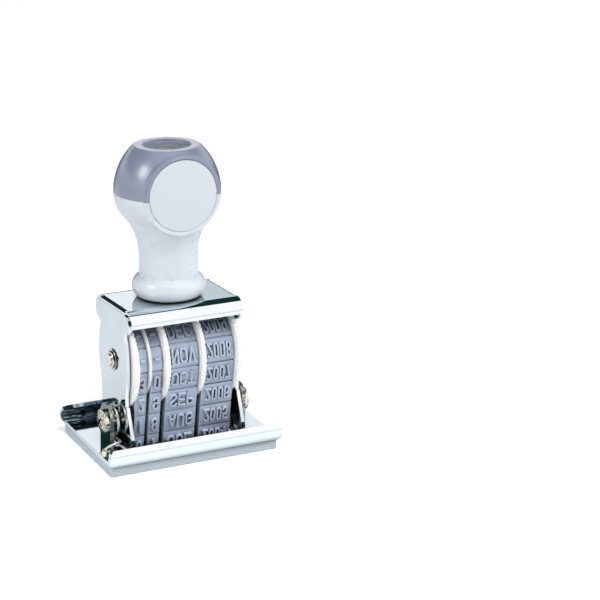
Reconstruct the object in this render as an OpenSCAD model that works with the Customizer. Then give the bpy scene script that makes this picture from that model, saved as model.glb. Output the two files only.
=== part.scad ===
// Date stamp with four rubber date bands in a rocking sheet-metal frame over a rubber text pad.
// Millimetres, +Z up, +X along the printed lines, -Y towards the user.
// The origin is under the middle of the pad, so the stamp stands on z = 0.
// The frame is drawn upright and then leaned back about the pivot screws, as the spring rests it.

/* [Pad and die plate] */
// length of the rubber pad along the printed lines
pad_l = 41; // [32:0.5:60]
// depth of the rubber pad across the printed lines
pad_d = 27.4; // [24:0.1:40]
// thickness of the rubber pad with its raised border
pad_t = 2.3; // [1.6:0.1:4]
// height of the raised border and rule under the pad
relief = 0.6; // [0.3:0.1:1]
// width of the raised border line
border_w = 0.7; // [0.4:0.1:1.5]
// sheet thickness of the die plate
plate_t = 0.9; // [0.6:0.1:1.2]
// how far the rolled lips reach past each end of the pad
lip_over = 0.9; // [0.5:0.1:1.5]
// outer radius of a rolled lip
lip_r = 2.9; // [2:0.1:4]
// how far a lip bulges past the pad's edge
lip_out = 1.35; // [0.6:0.05:2]
// half of the angle that a lip curls through
lip_angle = 48; // [30:1:60]
// gap between the frame and the window's edge at each end of the frame
window_gap = 0.65; // [0.4:0.05:1]
// window for the bands, across the printed lines
window_d = 15; // [14.6:0.1:18]

/* [Frame] */
// outside width of the frame over both side plates
frame_w = 28.2; // [26:0.1:30]
// sheet thickness of the frame
sheet_t = 0.8; // [0.7:0.1:1.2]
// depth of the flat top plate
top_d = 14.4; // [12:0.1:18]
// height of the top plate's upper face, frame upright
top_z = 35.35; // [34.5:0.05:38]
// outside radius of the bends between top and side plates
bend_r = 1.2; // [1:0.1:2]
// outside radius of the hood lips at the front and back
hood_r = 3.2; // [2:0.1:4]
// angle that a hood lip curls past a quarter turn
hood_tuck = 6; // [0:1:20]
// how far a hood lip stops short of each side of the frame
hood_in = 0.4; // [0.3:0.05:1.5]
// gap between a hood lip and the round cheek of a side plate in it
cheek_gap = 0.15; // [0.1:0.05:0.5]
// half depth of a side plate under the hood lips and above the foot
waist_d = 6.7; // [6:0.1:8]
// half depth of a side plate at the bulge beside the axle
bulge_d = 7.8; // [7:0.1:9]
// height where a side plate's foot begins to flare
foot_top_z = 12.7; // [11:0.1:15]
// lowest edge of the foot, frame upright
foot_z = 4.1; // [4:0.1:6]
// half depth of the foot at its lowest edge, measured from the pivot
foot_d = 8.4; // [7:0.1:8.9]
// half depth of the tongue that holds the bridge
tongue_d = 4; // [3:0.1:5]

/* [Pivot and spring] */
// angle that the frame leans back at rest
lean = 4; // [0:0.5:4]
// pivot axis in front of the pad's middle
pivot_y = -1.6; // [-3:0.1:0]
// pivot axis above the ground
pivot_z = 8.5; // [8:0.1:10]
// radius of an ear's round top, and half of its width
ear_r = 2.9; // [2.6:0.1:4]
// how far the middle of an ear's round top is above the pivot
ear_up = 1.3; // [0:0.1:2]
// room between a side plate and an ear, where the spring is
spring_room = 1.9; // [1.8:0.05:3]
// radius of a pivot screw's plain shoulder
shoulder_r = 1.5; // [1.2:0.1:2]
// radius of a pivot screw's head
head_r = 2.7; // [2.2:0.1:3.2]
// height of a pivot screw's head
head_h = 1.5; // [1:0.1:2]
// radial running clearance on shoulders and axles
run_clear = 0.05; // [0.02:0.01:0.1]
// wire radius of the return spring
wire_r = 0.27; // [0.2:0.01:0.3]
// mean radius of the return spring's curls
coil_r = 3.2; // [2.6:0.1:3.3]
// number of curls of the return spring
curls = 1.5; // [1.5:1:2.5]
// advance of the return spring for each curl
curl_pitch = 0.66; // [0.6:0.01:0.7]
// place of the spring's anchor from the plate's left end and front edge
anchor_in = [0.7, 4.9]; // [0.6:0.1:6]

/* [Wheels and bands] */
// height of the wheel axle, frame upright
axle_z = 22.15; // [21:0.05:24]
// radius of the wheel axle
axle_r = 1.5; // [1.2:0.1:2]
// outer radius of the finger wheels
wheel_r = 11.3; // [10:0.1:11.8]
// number of teeth on a finger wheel's rim
teeth = 64; // [40:2:80]
// depth of the teeth
tooth_h = 0.4; // [0.2:0.05:0.6]
// radius of the drums that carry the bands
drum_r = 7.1; // [6:0.1:8]
// room between a drum and its band
band_clear = 0.3; // [0.2:0.05:0.5]
// thickness of a band between its tiles
belt_t = 1.1; // [0.8:0.1:1.5]
// height of the flat tiles on a band
tile_h = 0.5; // [0.3:0.1:0.8]
// width of the groove between two tiles
groove_w = 0.4; // [0.3:0.1:1]
// depth of the groove between two tiles
groove_h = 0.25; // [0.15:0.05:0.3]
// length of a tile with its groove
tile_pitch = 5.35; // [5:0.05:5.6]
// radius of the band's inside around the bridge's corners
corner_r = 1.2; // [0.8:0.1:2]
// half distance between the bridge's corners
corner_y = 3; // [2.6:0.1:3.4]
// height of the printing tile's face, frame upright
print_z = 1; // [0.9:0.05:1.5]
// axial clearance between neighbours on the axle
side_clear = 0.1; // [0.05:0.01:0.2]
// rim widths of the day-tens, day-units, month and year wheels
rim_w = [0.75, 0.95, 0.85, 0.85]; // [0.6:0.05:2]
// shares of the room for bands that the day-tens, day-units, month and year bands take
band_share = [0.128, 0.134, 0.368, 0.37]; // [0.1:0.001:0.5]
// thickness of the thrust washers between the wheels and the side plates
thrust_t = 0.25; // [0.2:0.05:0.5]
// thickness of the spacer disc between the two day bands
spacer_t = 0.6; // [0.4:0.05:0.8]
// radius of the spacer disc
spacer_r = 9.8; // [9.7:0.1:11]

/* [Knob] */
// largest radius of the round knob
bulb_r = 12.1; // [10:0.1:14]
// height of the knob's widest circle above the top plate
bulb_h = 24.15; // [20:0.05:28]
// share of the cap's full oval that is left under its flat top
cap_share = 0.852; // [0.75:0.002:0.9]
// height of the cap's flat top above the top plate
knob_h = 35.05; // [32:0.05:40]
// radius of the neck
neck_r = 6.7; // [5:0.1:8]
// radius of the round collar's section
collar_r = 2.75; // [2:0.05:3.5]
// radius of the collar's middle circle
collar_mid_r = 5.65; // [5:0.05:7]
// radius of the hollow between neck and bulb
neck_curve_r = 14; // [8:0.5:18]
// radius of the lower bulb's curve
bulb_curve_r = 7.8; // [6:0.1:11]
// radius of the round recess in the cap's top
recess_r = 5.4; // [4:0.1:6]
// depth of the round recess
recess_h = 0.8; // [0.4:0.1:1.5]
// radius of the badge disc
badge_r = 8.6; // [6:0.1:9]
// thickness of the badge disc
badge_t = 1.1; // [0.8:0.1:2]
// front face of the badge before the knob's axis
badge_y = 8.65; // [8:0.05:9.5]
// height of the badge's middle above the knob's widest circle
badge_up = 0.9; // [0:0.1:2]
// radius of the cap's plug on the body
plug_r = 9.6; // [8:0.1:10]
// radius of the screw that holds the knob
stud_r = 2; // [1.5:0.1:2.5]

/* [Hidden] */
$fn = 96;
slack = 0.1;
side_in = frame_w / 2 - sheet_t;
lip_l = pad_l + 2 * lip_over;
lip_end_r = 1.9;
plate_end = 0.2;
window_l = frame_w + 2 * window_gap;
window_r = 0.8;
notch_gap = 0.4;
rule_in = 3.2;
rule_w = 0.5;
rule_end = 4;
dash_l = 1.6;
dash_step = 2.4;
hood_l = frame_w - 2 * hood_in;
inner_bend_r = 0.4;
hood_drop = 3.6;
cheek_r = hood_r - sheet_t - cheek_gap;
bulge_span = 7.4;
foot_shoulder = 0.5;
foot_toe = 0.8;
floor_z = pad_t + plate_t;
ear_in = frame_w / 2 + spring_room;
ear_out = ear_in + plate_t;
lip_mid_y = pad_d / 2 + lip_out - lip_r;
lip_mid_z = pad_t + lip_r * sin(lip_angle);
hood_mid_y = top_d / 2;
hood_mid_z = top_z - hood_r;
top_in_z = top_z - sheet_t;
belt_in_r = drum_r + band_clear;
belt_out_r = belt_in_r + belt_t;
corner_out_r = corner_r + belt_t;
corner_z = print_z + tile_h + corner_out_r;
bridge_z = corner_z - corner_r + slack;
bridge_h = 3.2;
rivet_z = bridge_z + 1.5;
rivet_r = 0.9;
rivet_head_r = 1.35;
rivet_head_h = 0.45;
rivet_l = 4;
thread_r = shoulder_r - 0.3;
thread_out = 0.3;
head_dome_r = 6;
recess_l = 2.6;
recess_w = 0.6;
recess_deep = 0.6;
nut_r = 2.3;
nut_h = 1.3;
washer_t = 0.3;
washer_r = 2.5;
axle_head_r = 1.95;
axle_head_h = 0.45;
axle_end_r = 1.35;
axle_end_h = 0.8;
thrust_r = 3.6;
bulb_z = top_z + bulb_h;
knob_z = top_z + knob_h;
cap_rise = (knob_h - bulb_h) / cap_share;
seam_drop = 0.2;
seam_z = bulb_z - seam_drop;
edge_r = 1;
rim_w_round_badge = 0.65;
rim_slope = 0.35;
rim_back = 0.1;
rim_deep = 2;
badge_z = bulb_z + badge_up;
badge_back_y = badge_y - badge_t;
head_washer_t = 0.4;
head_washer_r = 2.8;
stud_head_h = 1.6;
stud_head_r = 2.6;
stud_end = 3;
insert_r = 2.8;
insert_h = 9;
plug_top_z = seam_z + 0.48 * (knob_h - bulb_h);
anchor_x = -(pad_l / 2 - anchor_in[0]);
anchor_y = -(pad_d / 2 - anchor_in[1]);
anchor_r = 0.95;
anchor_pin_r = 0.6;
anchor_h = 1.5;
anchor_hole_z = floor_z + 0.5;
anchor_hole_r = wire_r + 0.06;

// Left edges of everything on the axle, counted from the left
stack_w = 2 * (side_in - thrust_t - side_clear);
band_room = stack_w - rim_w[0] - rim_w[1] - rim_w[2] - rim_w[3] - spacer_t - 8 * side_clear;
band_w = band_room * band_share;
tens_rim_x = -stack_w / 2;
tens_band_x = tens_rim_x + rim_w[0] + side_clear;
spacer_x = tens_band_x + band_w[0] + side_clear;
units_band_x = spacer_x + spacer_t + side_clear;
units_rim_x = units_band_x + band_w[1] + side_clear;
month_band_x = units_rim_x + rim_w[1] + side_clear;
month_rim_x = month_band_x + band_w[2] + side_clear;
year_band_x = month_rim_x + rim_w[2] + side_clear;
year_rim_x = year_band_x + band_w[3] + side_clear;

// Placing and drawing helpers

// points on a circle's arc from angle a to angle b
function arc(mid, r, a, b, steps) =
    [for (i = [0 : steps]) let (t = a + (b - a) * i / steps) mid + r * [cos(t), sin(t)]];

// leans the upright frame back about the pivot axis
module leaned() {
    translate([0, pivot_y, pivot_z])
        rotate([-lean, 0, 0])
            translate([0, -pivot_y, -pivot_z]) children();
}

// a cylinder along X from x0 to x1
module rod_x(x0, x1, y, z, r) {
    translate([x0, y, z])
        rotate([0, 90, 0])
            cylinder(h = x1 - x0, r = r);
}

// a ring along X from x0 to x1
module ring_x(x0, x1, y, z, r, bore) {
    difference() {
        rod_x(x0, x1, y, z, r);
        rod_x(x0 - 1, x1 + 1, y, z, bore);
    }
}

// stands a drawing of Y and Z up and gives it a width along X
module slab_x(x0, x1) {
    translate([x0, 0, 0])
        rotate([90, 0, 90])
            linear_extrude(height = x1 - x0) children();
}

// stands a drawing of X and Z up and gives it a depth along Y
module slab_y(y0, y1) {
    translate([0, y1, 0])
        rotate([90, 0, 0])
            linear_extrude(height = y1 - y0) children();
}

// a block centred in X and Y
module block(w, d, z0, z1) {
    translate([-w / 2, -d / 2, z0]) cube([w, d, z1 - z0]);
}

// a rectangle with round corners, from its lower left corner
module round_rect(x0, y0, w, h, r) {
    translate([x0 + r, y0]) square([w - 2 * r, h]);
    translate([x0, y0 + r]) square([w, h - 2 * r]);
    for (x = [x0 + r, x0 + w - r]) {
        for (y = [y0 + r, y0 + h - r]) {
            translate([x, y]) circle(r = r);
        }
    }
}

// the opening through pad and plate
module window_cut() {
    translate([0, 0, -1])
        linear_extrude(height = floor_z + 2)
            round_rect(-window_l / 2, -window_d / 2, window_l, window_d, window_r);
}

// both signs along X
module both_sides() {
    children();
    mirror([1, 0, 0]) children();
}

// Pad and die plate

// rubber text pad with a raised border line and a raised dashed rule under it
module text_pad() {
    rule_y = -pad_d / 2 + rule_in;
    dashes = 9;
    color("#a6b3bd") difference() {
        union() {
            block(pad_l, pad_d, relief, pad_t);
            difference() {
                block(pad_l, pad_d, 0, relief + slack);
                block(pad_l - 2 * border_w, pad_d - 2 * border_w, -1, pad_t);
            }
            for (i = [0 : dashes - 1]) {
                translate([-i * dash_step + pad_l / 2 - rule_end, rule_y, 0])
                    block(dash_l, rule_w, 0, relief + slack);
            }
        }
        window_cut();
    }
}

// one rolled lip in Y and Z, on the side of +Y
module lip_profile() {
    reach = 2 * lip_r;
    intersection() {
        translate([lip_mid_y, lip_mid_z]) difference() {
            circle(r = lip_r);
            circle(r = lip_r - plate_t);
        }
        translate([lip_mid_y, lip_mid_z])
            polygon([[0, 0], [reach * cos(lip_angle), -reach * sin(lip_angle)],
                     [reach, 0], [reach * cos(lip_angle), reach * sin(lip_angle)]]);
    }
}

// an ear's outline in Y and Z
module ear_profile() {
    translate([pivot_y - ear_r, pad_t]) square([2 * ear_r, pivot_z + ear_up - pad_t]);
    translate([pivot_y, pivot_z + ear_up]) circle(r = ear_r);
}

// the cut-out that an ear was folded up from, beside the window
module ear_notch() {
    notch_d = 2 * (ear_r + notch_gap);
    translate([window_l / 2 - 1, pivot_y - notch_d / 2, pad_t - 1])
        cube([ear_in - window_l / 2 + 1, notch_d, plate_t + 2]);
}

// bright tray with rolled front and back lips, and an ear folded up at each end of its window
module die_plate() {
    lip_top_z = lip_mid_z + lip_r * sin(lip_angle);
    floor_d = 2 * (lip_mid_y + (lip_r - plate_t / 2) * cos(lip_angle));
    color("#d9dde0") difference() {
        union() {
            difference() {
                block(pad_l + 2 * plate_end, floor_d, pad_t, floor_z);
                both_sides() ear_notch();
            }
            for (turn = [0, 180]) {
                rotate([0, 0, turn]) intersection() {
                    slab_x(-lip_l / 2, lip_l / 2) lip_profile();
                    slab_y(0, pad_d)
                        round_rect(-lip_l / 2, pad_t - slack, lip_l, lip_top_z - pad_t + 2 * slack, lip_end_r);
                }
            }
            both_sides() slab_x(ear_in, ear_out) ear_profile();
        }
        window_cut();
        both_sides() rod_x(ear_in - 1, ear_out + 1, pivot_y, pivot_z, shoulder_r + run_clear);
        translate([anchor_x, anchor_y, pad_t - 1]) cylinder(h = plate_t + 2, r = anchor_pin_r);
    }
}

// Spring and its anchor

// drilled post that takes the spring's outer end
module spring_anchor() {
    color("#cfcab8") translate([anchor_x, anchor_y, 0]) difference() {
        union() {
            translate([0, 0, pad_t]) cylinder(h = plate_t + slack, r = anchor_pin_r);
            translate([0, 0, floor_z]) cylinder(h = anchor_h, r = anchor_r);
        }
        translate([0, 0, anchor_hole_z]) cylinder(h = anchor_h, r = anchor_hole_r);
    }
}

// Return spring: one unbroken wire from the frame's hole, round the shoulder, to the anchor
coil_gap = 0.2;
coil_in_x = -(frame_w / 2 + coil_gap + wire_r);
rings_per_curl = 8;
// the curls start above the pivot and end under it, running forwards
coil_turn = 360 * curls;
coil_start = 270 - coil_turn;
hook_hole_r = 0.9;
hook_bend_r = 0.5;
leg_bend_r = 0.7;
leg_out = 2.6;

// centre of the wire at an angle round the pivot, measured from -Y towards +Z
function curl_point(a) = [coil_in_x - curl_pitch * (a - coil_start) / 360,
                          pivot_y - coil_r * cos(a), pivot_z + coil_r * sin(a)];

// a quarter bend from one straight run into the next, at corner c with unit directions u and v
function bend(c, u, v, r) = [for (a = [0 : 22.5 : 90]) c + r * ((sin(a) - 1) * u + (1 - cos(a)) * v)];

hook_point = curl_point(coil_start);
front_point = curl_point(270);
leg_level = front_point[2];
leg_corner = [anchor_x, anchor_y, leg_level];

spring_path = concat(
    [[-side_in, hook_point[1], hook_point[2]], [-side_in - sheet_t / 2, hook_point[1], hook_point[2]]],
    bend(hook_point, [-1, 0, 0], curl_heading(coil_start), hook_bend_r),
    [for (i = [1 : rings_per_curl * curls]) curl_point(coil_start + i * 360 / rings_per_curl)],
    bend(front_turn(), [0, -1, 0], leg_way(), leg_bend_r),
    bend(leg_corner, leg_way(), [0, 0, -1], leg_bend_r),
    [[anchor_x, anchor_y, anchor_hole_z + leg_bend_r], [anchor_x, anchor_y, anchor_hole_z + slack]]);

// direction of the wire where the curls begin
function curl_heading(a) = let (d = curl_point(a + 1) - curl_point(a)) d / norm(d);
// the corner in front of the ear where the outer leg turns to the left
function front_turn() = [front_point[0], pivot_y - ear_r - leg_out, leg_level];
// direction of the outer leg from that corner to the anchor
function leg_way() = let (d = leg_corner - front_turn()) d / norm(d);

// a frame that turns as little as it can along the path
function heading(p, i) = let (n = len(p) - 1, d = p[min(i + 1, n)] - p[max(i - 1, 0)]) d / norm(d);
function square_to(v, t) = let (d = v - (v * t) * t) d / norm(d);
function turned(p, i, u) = i >= len(p) ? [] :
    let (w = square_to(u, heading(p, i))) concat([w], turned(p, i + 1, w));

// a closed tube of six sides along a path
module tube(p, r) {
    sides = 6;
    n = len(p);
    u = turned(p, 0, [0, 0.3, 1]);
    pts = [for (i = [0 : n - 1])
               let (t = heading(p, i), v = cross(t, u[i]))
                   for (k = [0 : sides - 1]) p[i] + r * (cos(60 * k) * u[i] + sin(60 * k) * v)];
    walls = [for (i = [0 : n - 2]) for (k = [0 : sides - 1])
                 let (a = i * sides + k, b = i * sides + (k + 1) % sides)
                     each [[a, a + sides, b], [b, a + sides, b + sides]]];
    start = [for (k = [1 : sides - 2]) [0, k, k + 1]];
    last = (n - 1) * sides;
    end = [for (k = [1 : sides - 2]) [last, last + k + 1, last + k]];
    polyhedron(points = pts, faces = concat(walls, start, end), convexity = 6);
}

// least gap of the wire to itself, on points more than half a curl apart along it
function fine(p) = [for (i = [0 : len(p) - 2]) for (s = [0 : 0.25 : 0.75]) p[i] * (1 - s) + p[i + 1] * s];
function along(p, i, sum) = i >= len(p) ? [] :
    let (l = sum + (i == 0 ? 0 : norm(p[i] - p[i - 1]))) concat([l], along(p, i + 1, l));
function self_gap(p) = let (q = fine(p), l = along(q, 0, 0))
    min([for (i = [0 : len(q) - 1]) for (j = [i : len(q) - 1])
             if (l[j] - l[i] > PI * coil_r) norm(q[i] - q[j])]) - 2 * wire_r;
echo(least_gap_of_spring_to_itself = self_gap(spring_path));

module return_spring() {
    color("#c4c6c4") tube(spring_path, wire_r);
}

// Pivot screws and nuts

// round-headed shoulder screws with a cross recess, one through each ear into the frame
module pivot_screws() {
    thread_end = side_in - nut_h - thread_out;
    head_end = ear_out + slack + head_h;
    color("#cfcab8") leaned() both_sides() difference() {
        union() {
            rod_x(frame_w / 2, ear_out + slack, pivot_y, pivot_z, shoulder_r);
            rod_x(thread_end, frame_w / 2 + slack, pivot_y, pivot_z, thread_r);
            intersection() {
                rod_x(ear_out + slack / 2, head_end, pivot_y, pivot_z, head_r);
                translate([head_end - head_dome_r, pivot_y, pivot_z]) sphere(r = head_dome_r);
            }
        }
        for (turn = [0, 90]) {
            translate([head_end - recess_deep, pivot_y, pivot_z])
                rotate([turn + 45, 0, 0])
                    translate([0, -recess_l / 2, -recess_w / 2]) cube([head_h, recess_l, recess_w]);
        }
    }
}

// six-sided nuts inside the side plates
module pivot_nuts() {
    color("#c6c8c6") leaned() both_sides() difference() {
        translate([side_in - nut_h, pivot_y, pivot_z])
            rotate([0, 90, 0])
                linear_extrude(height = nut_h)
                    polygon([for (k = [0 : 5]) nut_r * [cos(60 * k + 30), sin(60 * k + 30)]]);
        rod_x(side_in - 2 * nut_h, side_in + nut_h, pivot_y, pivot_z, thread_r);
    }
}

// Frame

// the bent sheet seen from the front: top plate and two side plates
module frame_section() {
    difference() {
        round_rect(-frame_w / 2, 0, frame_w, top_z, bend_r);
        translate([-side_in, -slack]) square([2 * side_in, top_in_z - inner_bend_r + slack]);
        round_rect(-side_in, top_in_z - hood_r, 2 * side_in, hood_r, inner_bend_r);
    }
}

// a side plate in Y and Z: cheeks in the hood lips, waist, bulge beside the axle, flared foot and tongue
module side_profile() {
    bulge = bulge_d - waist_d;
    arc_r = (bulge_span * bulge_span + bulge * bulge) / (2 * bulge);
    difference() {
        union() {
            translate([-top_d / 2, axle_z + bulge_span]) square([top_d, top_z - axle_z - bulge_span]);
            for (y = [-hood_mid_y, hood_mid_y]) {
                translate([y, hood_mid_z]) circle(r = cheek_r);
            }
            translate([-waist_d, foot_top_z]) square([2 * waist_d, top_z - hood_drop - foot_top_z]);
            intersection() {
                translate([arc_r - bulge_d, axle_z]) circle(r = arc_r, $fn = 180);
                translate([bulge_d - arc_r, axle_z]) circle(r = arc_r, $fn = 180);
                translate([-bulge_d, axle_z - bulge_span]) square([2 * bulge_d, 2 * bulge_span]);
            }
            polygon([[-waist_d - foot_shoulder, foot_top_z], [pivot_y - foot_d, foot_z + foot_toe],
                     [pivot_y - foot_d, foot_z], [pivot_y + foot_d, foot_z],
                     [waist_d, foot_top_z + slack], [-waist_d - slack, foot_top_z + slack]]);
            translate([-tongue_d, bridge_z]) square([2 * tongue_d, foot_z]);
        }
        translate([0, axle_z]) circle(r = axle_r);
        translate([pivot_y, pivot_z]) circle(r = thread_r);
        hook_hole();
        translate([0, rivet_z]) circle(r = rivet_r);
    }
}

// the hole for the spring's hook, wide enough that the hook stays clear over the whole rock
module hook_hole() {
    translate([pivot_y, pivot_z + coil_r]) circle(r = hook_hole_r);
}

// a hood lip in Y and Z, on the side of +Y
module hood_profile() {
    reach = 2 * hood_r;
    intersection() {
        translate([hood_mid_y, hood_mid_z]) difference() {
            circle(r = hood_r);
            circle(r = hood_r - sheet_t);
        }
        translate([hood_mid_y, hood_mid_z])
            polygon([[-0.3, 0], [-0.3, reach], [reach, reach],
                     [reach * cos(hood_tuck), -reach * sin(hood_tuck)], [0, 0]]);
    }
}

// one sheet: top plate, rolled hood lips at the front and back, and two side plates
module frame() {
    color("#dfe3e6") leaned() difference() {
        union() {
            intersection() {
                slab_y(-bulge_d - 5, bulge_d + 5) frame_section();
                slab_x(-frame_w, frame_w) side_profile();
            }
            for (turn = [0, 180]) {
                rotate([0, 0, turn]) slab_x(-hood_l / 2, hood_l / 2) hood_profile();
            }
        }
        translate([0, 0, top_in_z - sheet_t]) cylinder(h = 3 * sheet_t, r = stud_r);
    }
}

// Bridge under the bands

// bar with round lower corners that the bands run round
module bridge_profile() {
    bar_d = corner_y + corner_r - slack;
    difference() {
        round_rect(-bar_d, bridge_z, 2 * bar_d, bridge_h, corner_r - slack);
        translate([0, rivet_z]) circle(r = rivet_r);
    }
}

module band_bridge() {
    color("#b9bcbd") leaned() slab_x(-side_in, side_in) bridge_profile();
}

// two headed pins that hold the bridge between the tongues
module bridge_rivets() {
    color("#c9c6ba") leaned() both_sides() {
        rod_x(side_in - rivet_l, frame_w / 2 + slack, 0, rivet_z, rivet_r);
        rod_x(frame_w / 2, frame_w / 2 + rivet_head_h, 0, rivet_z, rivet_head_r);
    }
}

// Axle, wheels and spacer

// riveted axle with a stepped head at each end
module wheel_axle() {
    washer_out = frame_w / 2 + washer_t;
    color("#cfcab8") leaned() {
        rod_x(-washer_out - slack, washer_out + slack, 0, axle_z, axle_r);
        both_sides() {
            rod_x(washer_out, washer_out + axle_head_h, 0, axle_z, axle_head_r);
            rod_x(washer_out, washer_out + axle_end_h, 0, axle_z, axle_end_r);
        }
    }
}

// thin washers under the axle's heads
module axle_washers() {
    color("#d3d1c6") leaned() both_sides()
        ring_x(frame_w / 2, frame_w / 2 + washer_t, 0, axle_z, washer_r, axle_r);
}

// rings that keep the wheels off the side plates
module thrust_washers() {
    color("#c4c6c4") leaned() both_sides()
        ring_x(side_in - thrust_t, side_in, 0, axle_z, thrust_r, axle_r);
}

// the thin plain disc between the two day bands
module wheel_spacer() {
    color("#e0dedc") leaned()
        ring_x(spacer_x, spacer_x + spacer_t, 0, axle_z, spacer_r, axle_r);
}

// a toothed rim in the plane of the wheel
module rim_profile() {
    step = 180 / teeth;
    polygon([for (k = [0 : 2 * teeth - 1])
                 (k % 2 == 0 ? wheel_r : wheel_r - tooth_h) * [cos(k * step), sin(k * step)]]);
}

// a finger wheel: a toothed rim beside the drum that carries its band
module wheel(rim_x, width, drum_from, drum_to) {
    color("#e4e2e0") leaned() difference() {
        union() {
            translate([0, 0, axle_z]) slab_x(rim_x, rim_x + width) rim_profile();
            rod_x(drum_from, drum_to, 0, axle_z, drum_r);
        }
        rod_x(-frame_w, frame_w, 0, axle_z, axle_r + run_clear);
    }
}

module day_tens_wheel() {
    wheel(tens_rim_x, rim_w[0], tens_rim_x, tens_band_x + band_w[0]);
}

module day_units_wheel() {
    wheel(units_rim_x, rim_w[1], units_band_x, units_rim_x + rim_w[1]);
}

module month_wheel() {
    wheel(month_rim_x, rim_w[2], month_band_x, month_rim_x + rim_w[2]);
}

module year_wheel() {
    wheel(year_rim_x, rim_w[3], year_band_x, year_rim_x + rim_w[3]);
}

// Bands: a loop round the drum and the bridge's two corners, with flat tiles on its outside
run_len = norm([corner_y, axle_z - corner_z]);
run_angle = atan2(axle_z - corner_z, corner_y);
// angle of the straight run's outward normal above the horizontal
run_tilt = acos((belt_in_r - corner_r) / run_len) - run_angle;
straight_l = sqrt(run_len * run_len - pow(belt_in_r - corner_r, 2));
top_arc = 180 - 2 * run_tilt;
corner_arc = 90 + run_tilt;
arc_unit = PI / 180;
half_flat = corner_y;
corner_l = corner_out_r * corner_arc * arc_unit;
top_l = belt_out_r * top_arc * arc_unit;
loop_l = 2 * half_flat + 2 * corner_l + 2 * straight_l + top_l;
tiles = floor(loop_l / tile_pitch);

// the filled loop at a distance outside the drum
module loop_fill(out) {
    small = corner_r + out;
    polygon(concat(arc([0, axle_z], belt_in_r + out, run_tilt, 180 - run_tilt, 32),
                   arc([-corner_y, corner_z], small, 180 - run_tilt, 270, 8),
                   arc([corner_y, corner_z], small, 270, 360 + run_tilt, 8)));
}

// place and outward angle of the band's outside at a length s from the middle of the flat bottom
function on_loop(s) =
    s < half_flat ? [[s, corner_z - corner_out_r], -90] :
    s < half_flat + corner_l ?
        let (a = -90 + (s - half_flat) / corner_out_r / arc_unit)
            [[corner_y, corner_z] + corner_out_r * [cos(a), sin(a)], a] :
    s < half_flat + corner_l + straight_l ?
        let (a = corner_arc - 90, k = s - half_flat - corner_l)
            [[corner_y, corner_z] + corner_out_r * [cos(a), sin(a)] + k * [-sin(a), cos(a)], a] :
        let (a = corner_arc - 90 + (s - half_flat - corner_l - straight_l) / belt_out_r / arc_unit)
            [[0, axle_z] + belt_out_r * [cos(a), sin(a)], a];

// place on either half of the loop, for a signed length
function on_side(s) = s >= 0 ? on_loop(s) :
    let (q = on_loop(-s)) [[-q[0][0], q[0][1]], 180 - q[1]];

// the loop's section: tiles all round it, parted by grooves, with one tile centred under the bridge
// and a longer one over the drum's top, where the band's ends are joined
module band_profile() {
    difference() {
        loop_fill(belt_t + tile_h);
        loop_fill(0);
        for (i = [0 : tiles - 1]) {
            q = on_side((i + 0.5 - floor(tiles / 2)) * tile_pitch);
            translate(q[0])
                rotate(q[1])
                    translate([tile_h - groove_h, -groove_w / 2]) square([2 * tile_h, groove_w]);
        }
    }
}

// a rubber band at its place on the axle
module band(x, width) {
    color("#98a0b2") leaned() slab_x(x, x + width) band_profile();
}

module day_tens_band() {
    band(tens_band_x, band_w[0]);
}

module day_units_band() {
    band(units_band_x, band_w[1]);
}

module month_band() {
    band(month_band_x, band_w[2]);
}

module year_band() {
    band(year_band_x, band_w[3]);
}

// Knob

// radius of the cap's oval at a height above the widest circle
function oval_r(h) = bulb_r * sqrt(1 - pow(h / cap_rise, 2));

// lower bulb and neck: a round bulb that a hollow curve joins to the straight neck
bulb_curve_x = bulb_r - bulb_curve_r;
hollow_x = neck_r + neck_curve_r;
hollow_drop = sqrt(pow(bulb_curve_r + neck_curve_r, 2) - pow(hollow_x - bulb_curve_x, 2));
join_angle = atan2(hollow_drop, hollow_x - bulb_curve_x);
seam_angle = asin((bulb_z - seam_z) / bulb_curve_r);
collar_top = acos((neck_r - collar_mid_r) / collar_r);

// the body's outline from the collar's foot up to the plug
module body_profile() {
    polygon(concat([[0, top_z]],
                   arc([collar_mid_r, top_z + collar_r], collar_r, -90, collar_top, 12),
                   arc([hollow_x, bulb_z - hollow_drop], neck_curve_r, 180, 180 - join_angle, 8),
                   arc([bulb_curve_x, bulb_z], bulb_curve_r, 4 - join_angle, -seam_angle, 8),
                   [[plug_r, seam_z], [plug_r, plug_top_z], [0, plug_top_z]]));
}

// the round seat that the badge lies in
module badge_seat() {
    translate([0, -badge_back_y, badge_z])
        rotate([90, 0, 0])
            cylinder(h = bulb_r, r = badge_r + slack);
}

// the raised rim round the badge
module badge_rim() {
    rim_r = badge_r + slack + rim_w_round_badge;
    rim_front = badge_y - rim_back;
    translate([0, -rim_front + rim_deep, badge_z])
        rotate([90, 0, 0])
            difference() {
                cylinder(h = rim_deep, r1 = rim_r + rim_slope, r2 = rim_r);
                translate([0, 0, -slack]) cylinder(h = 2 * rim_deep, r = badge_r + slack);
            }
}

// half of space above or below the seam
module above_seam() {
    block(4 * bulb_r, 4 * bulb_r, seam_z, knob_z + 5);
}

module below_seam() {
    block(4 * bulb_r, 4 * bulb_r, top_z, seam_z);
}

// pale lower knob with collar, neck, lower bulb and the plug for the cap
module knob_body() {
    color("#e2e8ef") leaned() difference() {
        union() {
            rotate_extrude() body_profile();
            intersection() {
                badge_rim();
                below_seam();
            }
        }
        badge_seat();
        translate([0, 0, top_z - 1]) cylinder(h = insert_h + 1, r = insert_r);
        translate([0, 0, top_z]) cylinder(h = insert_h + stud_end, r = stud_r + slack);
    }
}

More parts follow.
